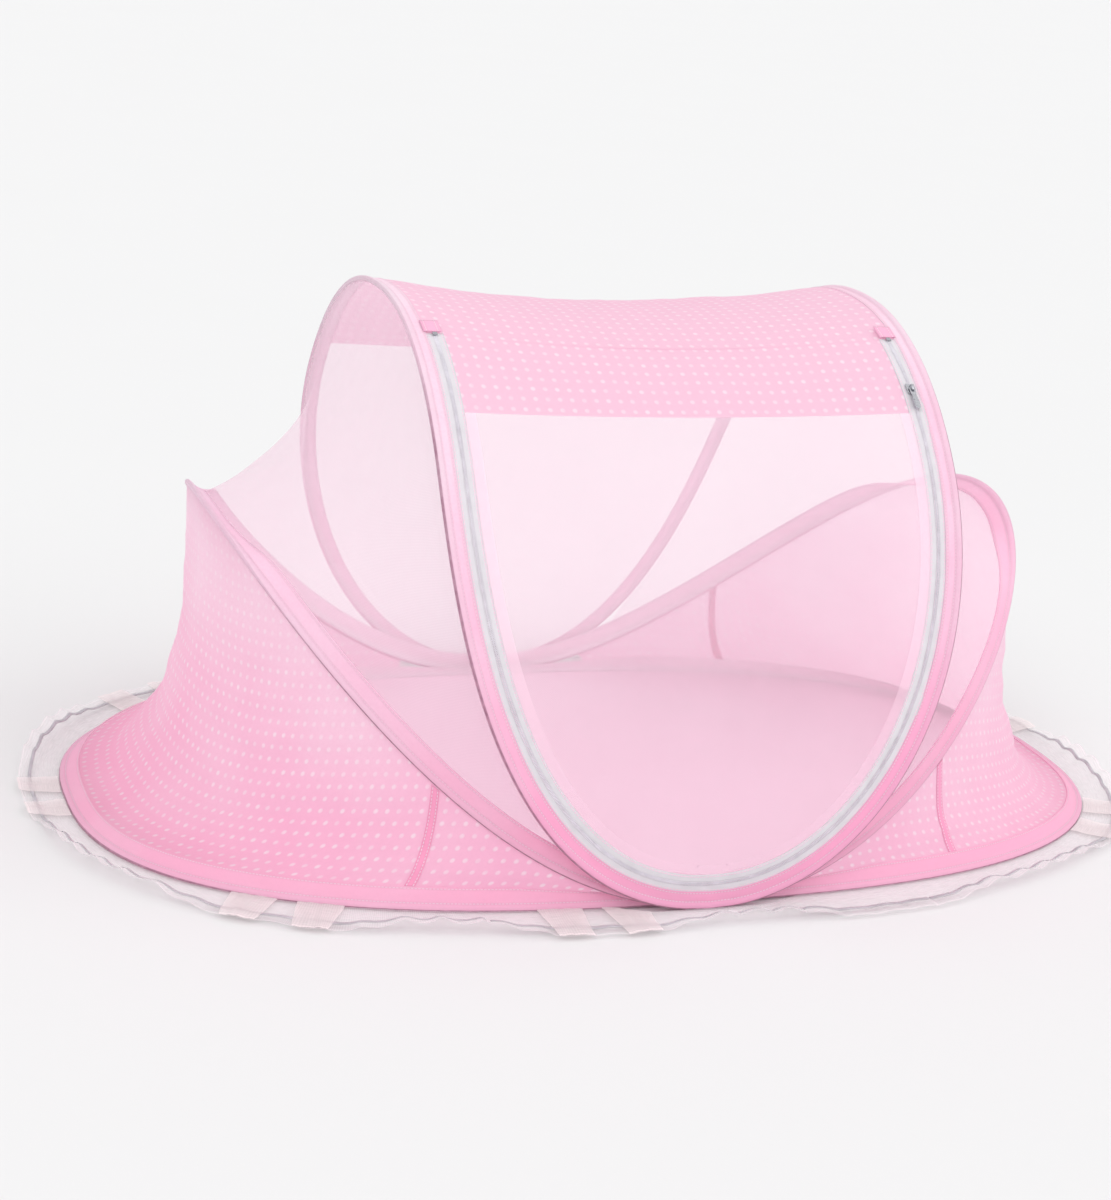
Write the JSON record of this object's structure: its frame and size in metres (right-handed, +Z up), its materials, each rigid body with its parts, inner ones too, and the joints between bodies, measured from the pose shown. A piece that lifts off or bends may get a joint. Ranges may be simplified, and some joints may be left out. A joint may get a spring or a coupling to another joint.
{
  "type": "baby mosquito net tent",
  "caption": "Pop-up baby mosquito net tent: sprung hoops in sewn sleeves carry net sides, a dotted roof and ends, a zipped front door, a floor and a gathered flounce.",
  "frame": {"origin": "on the ground under the middle of the tent", "axes": "+X along the length, +Y from the door to the rear, +Z up"},
  "size_m": [1.1766, 0.7962, 0.5271],
  "materials": {
    "wire": "black-grey sprung wire",
    "ferrule": "crimped tube",
    "sleeve": "thin woven polyester",
    "dotted_cloth": "thin polyester with small pale dots",
    "net": "fine see-through mesh",
    "floor": "plain woven polyester",
    "zip_tape": "woven tape",
    "zip_coil": "nylon coil",
    "zip_metal": "plated die casting",
    "flounce": "sheer gathered voile",
    "ribbon": "narrow satin ribbon",
    "seam_tape": "woven tape"
  },
  "bodies": {
    "canopy": {"canopy_wire": "wire", "canopy_ferrule": "ferrule", "canopy_sleeve": "sleeve", "roof_panel": "dotted_cloth", "rear_net": "net", "side_net_left": "net", "side_net_right": "net", "zip_tape_frame": "zip_tape", "zip_coil_frame": "zip_coil", "zip_stop_left": "zip_metal", "zip_stop_right": "zip_metal", "flounce_front": "flounce", "flounce_rear": "flounce", "ribbon_front": "ribbon", "ribbon_rear": "ribbon"},
    "right_end": {"end_wire_right": "wire", "end_sleeve_right": "sleeve", "end_panel_right": "dotted_cloth", "seam_tape_front_right": "seam_tape", "seam_tape_rear_right": "seam_tape", "base_wire_right": "wire", "base_sleeve_right": "sleeve", "floor_right": "floor", "flounce_right": "flounce", "ribbon_right": "ribbon"},
    "left_end": {"end_wire_left": "wire", "end_sleeve_left": "sleeve", "end_panel_left": "dotted_cloth", "seam_tape_front_left": "seam_tape", "seam_tape_rear_left": "seam_tape", "base_wire_left": "wire", "base_sleeve_left": "sleeve", "floor_left": "floor", "flounce_left": "flounce", "ribbon_left": "ribbon"},
    "door": {"door_net": "net", "door_band": "dotted_cloth", "zip_tape_door": "zip_tape", "zip_coil_door": "zip_coil"},
    "slider": {"zip_slider": "zip_metal"},
    "pull": {"pull_tab": "zip_metal"}
  },
  "joints": [
    {"name": "right_end_fold", "type": "hinge", "parent": "canopy", "child": "right_end", "pos_m": [0, 0, 0.0071], "axis": [0, -1, 0], "range_deg": [0, 30], "stiffness_Nm_per_rad": 0.5, "deforming": ["side_net_right"]},
    {"name": "left_end_fold", "type": "hinge", "parent": "canopy", "child": "left_end", "pos_m": [0, 0, 0.0071], "axis": [0, 1, 0], "range_deg": [0, 30], "stiffness_Nm_per_rad": 0.5, "deforming": ["side_net_left"]},
    {"name": "door_open", "type": "hinge", "parent": "canopy", "child": "door", "pos_m": [0, -0.1208, 0.5], "axis": [-1, 0, 0], "range_deg": [0, 110], "deforming": ["zip_tape_door", "zip_coil_door"]},
    {"name": "slider_run", "type": "hinge", "parent": "canopy", "child": "slider", "pos_m": [0.2351, 0.01144, 0.21986], "axis": [1, 0, 0], "range_deg": [-9, 15]},
    {"name": "pull_swing", "type": "hinge", "parent": "slider", "child": "pull", "pos_m": [0.2351, -0.18442, 0.46513], "axis": [-1, 0, 0], "range_deg": [0, 165]}
  ]
}
